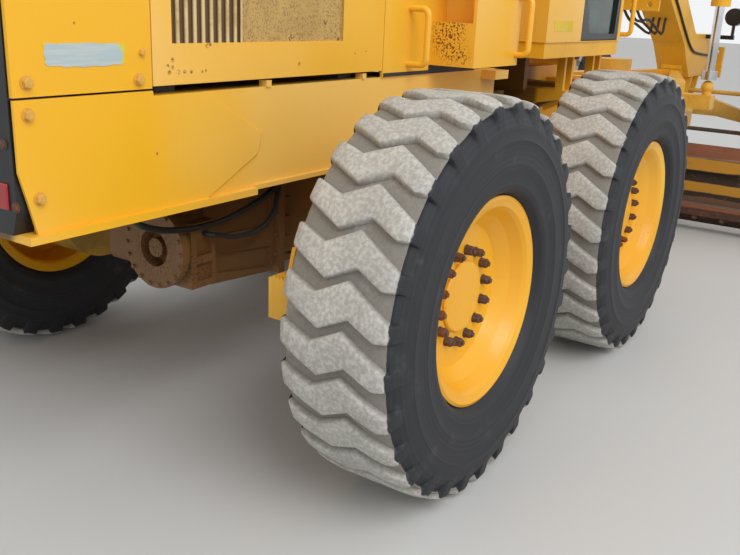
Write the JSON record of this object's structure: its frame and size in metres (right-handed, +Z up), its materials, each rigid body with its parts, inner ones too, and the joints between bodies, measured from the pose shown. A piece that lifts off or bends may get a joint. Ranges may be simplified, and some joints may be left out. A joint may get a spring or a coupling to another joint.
{
  "type": "motor grader",
  "caption": "Articulated motor grader with tandem rear axles, cab, drawbar, turning circle, moldboard and leaning, steered front wheels.",
  "frame": {"origin": "on the ground, below the middle of the machine's length and width", "axes": "+X forwards, +Y to the machine's left, +Z up"},
  "size_m": [8.8, 3.66, 3.3],
  "materials": {
    "yellow_paint": "semi-gloss, faded and dusty, with rust streaks",
    "rim_paint": "semi-gloss, dirty, with rust at its edges and nuts",
    "black_paint": "satin, dusty",
    "dark_steel": "rough, rusty",
    "cast_metal": "rough, oily",
    "worn_steel": "scoured, with worn paint and rust",
    "chrome_rod": "polished",
    "tyre_rubber": "matt, with pale dust on its tread",
    "hose_rubber": "matt, dusty",
    "seat_vinyl": "satin",
    "black_plastic": "matt",
    "glass": "clear, dusty"
  },
  "bodies": {
    "tractor": {"rear_frame": "yellow_paint", "rear_panel": "black_paint", "hood": "yellow_paint", "engine": "cast_metal", "transmission": "yellow_paint", "final_drive": "yellow_paint", "tank_left": "yellow_paint", "tank_right": "yellow_paint", "exhaust": "dark_steel", "hoses_tractor": "hose_rubber"},
    "radiator_guard": {"radiator_door": "black_paint"},
    "hood_flap_left": {"hood_door_left": "yellow_paint"},
    "hood_flap_right": {"hood_door_right": "yellow_paint"},
    "tandem_case_left": {"tandem_left": "yellow_paint"},
    "tandem_case_right": {"tandem_right": "yellow_paint"},
    "front_body": {"front_frame": "yellow_paint", "lift_saddle": "yellow_paint", "cab_floor": "yellow_paint", "cab_body": "yellow_paint", "cab_roof": "yellow_paint", "cab_glass": "glass", "seat": "seat_vinyl", "steering_console": "black_plastic", "ladders": "yellow_paint", "lamp_bar": "black_paint", "mirrors": "black_plastic", "hoses_front": "hose_rubber"},
    "cab_door_left": {"door_left": "black_paint", "door_glass_left": "glass"},
    "cab_door_right": {"door_right": "black_paint", "door_glass_right": "glass"},
    "artic_cylinder_left": {"artic_barrel_left": "yellow_paint"},
    "artic_cylinder_right": {"artic_barrel_right": "yellow_paint"},
    "artic_piston_left": {"artic_rod_left": "chrome_rod"},
    "artic_piston_right": {"artic_rod_right": "chrome_rod"},
    "drawbar_body": {"drawbar": "yellow_paint"},
    "lift_piston_left": {"lift_rod_left": "chrome_rod"},
    "lift_piston_right": {"lift_rod_right": "chrome_rod"},
    "circle_body": {"circle": "yellow_paint"},
    "blade_mount": {"blade_carrier": "yellow_paint"},
    "blade": {"moldboard": "worn_steel"},
    "axle_beam": {"front_axle": "yellow_paint"},
    "lean_link": {"lean_bar": "yellow_paint"},
    "steer_link": {"tie_rod": "dark_steel"},
    "yoke_left": {"lean_yoke_left": "yellow_paint"},
    "yoke_right": {"lean_yoke_right": "yellow_paint"},
    "knuckle_left": {"spindle_left": "yellow_paint"},
    "knuckle_right": {"spindle_right": "yellow_paint"},
    "wheel_rear_left": {"tyre_rear_left": "tyre_rubber", "rim_rear_left": "rim_paint"},
    "wheel_rear_right": {"tyre_rear_right": "tyre_rubber", "rim_rear_right": "rim_paint"},
    "wheel_mid_left": {"tyre_mid_left": "tyre_rubber", "rim_mid_left": "rim_paint"},
    "wheel_mid_right": {"tyre_mid_right": "tyre_rubber", "rim_mid_right": "rim_paint"},
    "wheel_front_left": {"tyre_front_left": "tyre_rubber", "rim_front_left": "rim_paint"},
    "wheel_front_right": {"tyre_front_right": "tyre_rubber", "rim_front_right": "rim_paint"}
  },
  "joints": [
    {"name": "articulation", "type": "hinge", "parent": "tractor", "child": "front_body", "pos_m": [-1.6, 0, 1.05], "axis": [0, 0, 1], "range_deg": [-20, 20]},
    {"name": "tandem_left_pivot", "type": "hinge", "parent": "tractor", "child": "tandem_case_left", "pos_m": [-2.41, 0.74, 0.662], "axis": [0, 1, 0], "range_deg": [-15, 15]},
    {"name": "wheel_rear_left_spin", "type": "hinge", "parent": "tandem_case_left", "child": "wheel_rear_left", "pos_m": [-3.23, 1.1, 0.662], "axis": [0, 1, 0], "continuous": true},
    {"name": "wheel_mid_left_spin", "type": "hinge", "parent": "tandem_case_left", "child": "wheel_mid_left", "pos_m": [-1.59, 1.1, 0.662], "axis": [0, 1, 0], "continuous": true},
    {"name": "cab_door_left_hinge", "type": "hinge", "parent": "front_body", "child": "cab_door_left", "pos_m": [-1.235, 0.722, 2.2], "axis": [0, 0, 1], "range_deg": [0, 90]},
    {"name": "hood_flap_left_hinge", "type": "hinge", "parent": "tractor", "child": "hood_flap_left", "pos_m": [-3.3, 0.521, 1.984], "axis": [1, 0, 0], "range_deg": [0, 75]},
    {"name": "artic_cylinder_left_pivot", "type": "hinge", "parent": "tractor", "child": "artic_cylinder_left", "pos_m": [-2.12, 0.23, 1.05], "axis": [0, 0, 1], "range_deg": [-10, 10]},
    {"name": "tandem_right_pivot", "type": "hinge", "parent": "tractor", "child": "tandem_case_right", "pos_m": [-2.41, -0.74, 0.662], "axis": [0, -1, 0], "range_deg": [-15, 15]},
    {"name": "wheel_rear_right_spin", "type": "hinge", "parent": "tandem_case_right", "child": "wheel_rear_right", "pos_m": [-3.23, -1.1, 0.662], "axis": [0, 1, 0], "continuous": true},
    {"name": "wheel_mid_right_spin", "type": "hinge", "parent": "tandem_case_right", "child": "wheel_mid_right", "pos_m": [-1.59, -1.1, 0.662], "axis": [0, 1, 0], "continuous": true},
    {"name": "cab_door_right_hinge", "type": "hinge", "parent": "front_body", "child": "cab_door_right", "pos_m": [-1.235, -0.722, 2.2], "axis": [0, 0, -1], "range_deg": [0, 90]},
    {"name": "hood_flap_right_hinge", "type": "hinge", "parent": "tractor", "child": "hood_flap_right", "pos_m": [-3.3, -0.521, 1.984], "axis": [-1, 0, 0], "range_deg": [0, 75]},
    {"name": "artic_cylinder_right_pivot", "type": "hinge", "parent": "tractor", "child": "artic_cylinder_right", "pos_m": [-2.12, -0.23, 1.05], "axis": [0, 0, 1], "range_deg": [-10, 10]},
    {"name": "radiator_guard_hinge", "type": "hinge", "parent": "tractor", "child": "radiator_guard", "pos_m": [-4.402, 0.424, 1.7], "axis": [0, 0, -1], "range_deg": [0, 90]},
    {"name": "artic_piston_left_slide", "type": "slide", "parent": "artic_cylinder_left", "child": "artic_piston_left", "axis": [0.9959, 0.0905, 0], "range_m": [-0.12, 0.12]},
    {"name": "artic_piston_right_slide", "type": "slide", "parent": "artic_cylinder_right", "child": "artic_piston_right", "axis": [0.9959, -0.0905, 0], "range_m": [-0.12, 0.12]},
    {"name": "drawbar_lift", "type": "hinge", "parent": "front_body", "child": "drawbar_body", "pos_m": [3.29, 0, 1], "axis": [0, 1, 0], "range_deg": [-12, 11]},
    {"name": "lift_piston_left_slide", "type": "slide", "parent": "front_body", "child": "lift_piston_left", "axis": [0, 0, 1], "range_m": [-0.5, 0.46]},
    {"name": "lift_piston_right_slide", "type": "slide", "parent": "front_body", "child": "lift_piston_right", "axis": [0, 0, 1], "range_m": [-0.5, 0.46]},
    {"name": "circle_turn", "type": "hinge", "parent": "drawbar_body", "child": "circle_body", "pos_m": [1.1, 0, 0.85], "axis": [0, 0, 1], "continuous": true},
    {"name": "blade_tip", "type": "hinge", "parent": "circle_body", "child": "blade_mount", "pos_m": [0.93, 0, 0.25], "axis": [0, 1, 0], "range_deg": [-5, 40]},
    {"name": "blade_sideshift", "type": "slide", "parent": "blade_mount", "child": "blade", "axis": [0, -1, 0], "range_m": [-0.55, 0.55]},
    {"name": "front_axle_swing", "type": "hinge", "parent": "front_body", "child": "axle_beam", "pos_m": [3.69, 0, 0.74], "axis": [1, 0, 0], "range_deg": [-15, 15]},
    {"name": "lean_left", "type": "hinge", "parent": "axle_beam", "child": "yoke_left", "pos_m": [3.69, 0.77, 0.64], "axis": [1, 0, 0], "range_deg": [-18, 18]},
    {"name": "lean_right", "type": "hinge", "parent": "axle_beam", "child": "yoke_right", "pos_m": [3.69, -0.77, 0.64], "axis": [1, 0, 0], "range_deg": [-18, 18]},
    {"name": "lean_link_slide", "type": "slide", "parent": "axle_beam", "child": "lean_link", "axis": [0, 1, 0], "range_m": [-0.1, 0.1]},
    {"name": "steer_left", "type": "hinge", "parent": "yoke_left", "child": "knuckle_left", "pos_m": [3.69, 0.99, 0.64], "axis": [0, 0, 1], "range_deg": [-42, 42]},
    {"name": "steer_right", "type": "hinge", "parent": "yoke_right", "child": "knuckle_right", "pos_m": [3.69, -0.99, 0.64], "axis": [0, 0, 1], "range_deg": [-42, 42]},
    {"name": "steer_link_slide", "type": "slide", "parent": "axle_beam", "child": "steer_link", "axis": [0, 1, 0], "range_m": [-0.2, 0.2]},
    {"name": "wheel_front_left_spin", "type": "hinge", "parent": "knuckle_left", "child": "wheel_front_left", "pos_m": [3.69, 1.1, 0.662], "axis": [0, 1, 0], "continuous": true},
    {"name": "wheel_front_right_spin", "type": "hinge", "parent": "knuckle_right", "child": "wheel_front_right", "pos_m": [3.69, -1.1, 0.662], "axis": [0, 1, 0], "continuous": true}
  ],
  "couplings": [
    {"joint": "artic_cylinder_left_pivot", "follows": "articulation", "ratio": 0.3535},
    {"joint": "artic_cylinder_right_pivot", "follows": "articulation", "ratio": 0.3535},
    {"joint": "artic_piston_left_slide", "follows": "articulation", "m_per_rad": -0.274},
    {"joint": "artic_piston_right_slide", "follows": "articulation", "m_per_rad": 0.274},
    {"joint": "lift_piston_left_slide", "follows": "drawbar_lift", "m_per_rad": 2.26},
    {"joint": "lift_piston_right_slide", "follows": "drawbar_lift", "m_per_rad": 2.26},
    {"joint": "lean_right", "follows": "lean_left", "ratio": 1},
    {"joint": "lean_link_slide", "follows": "lean_left", "m_per_rad": -0.2213},
    {"joint": "steer_right", "follows": "steer_left", "ratio": 1},
    {"joint": "steer_link_slide", "follows": "steer_left", "m_per_rad": -0.219}
  ]
}
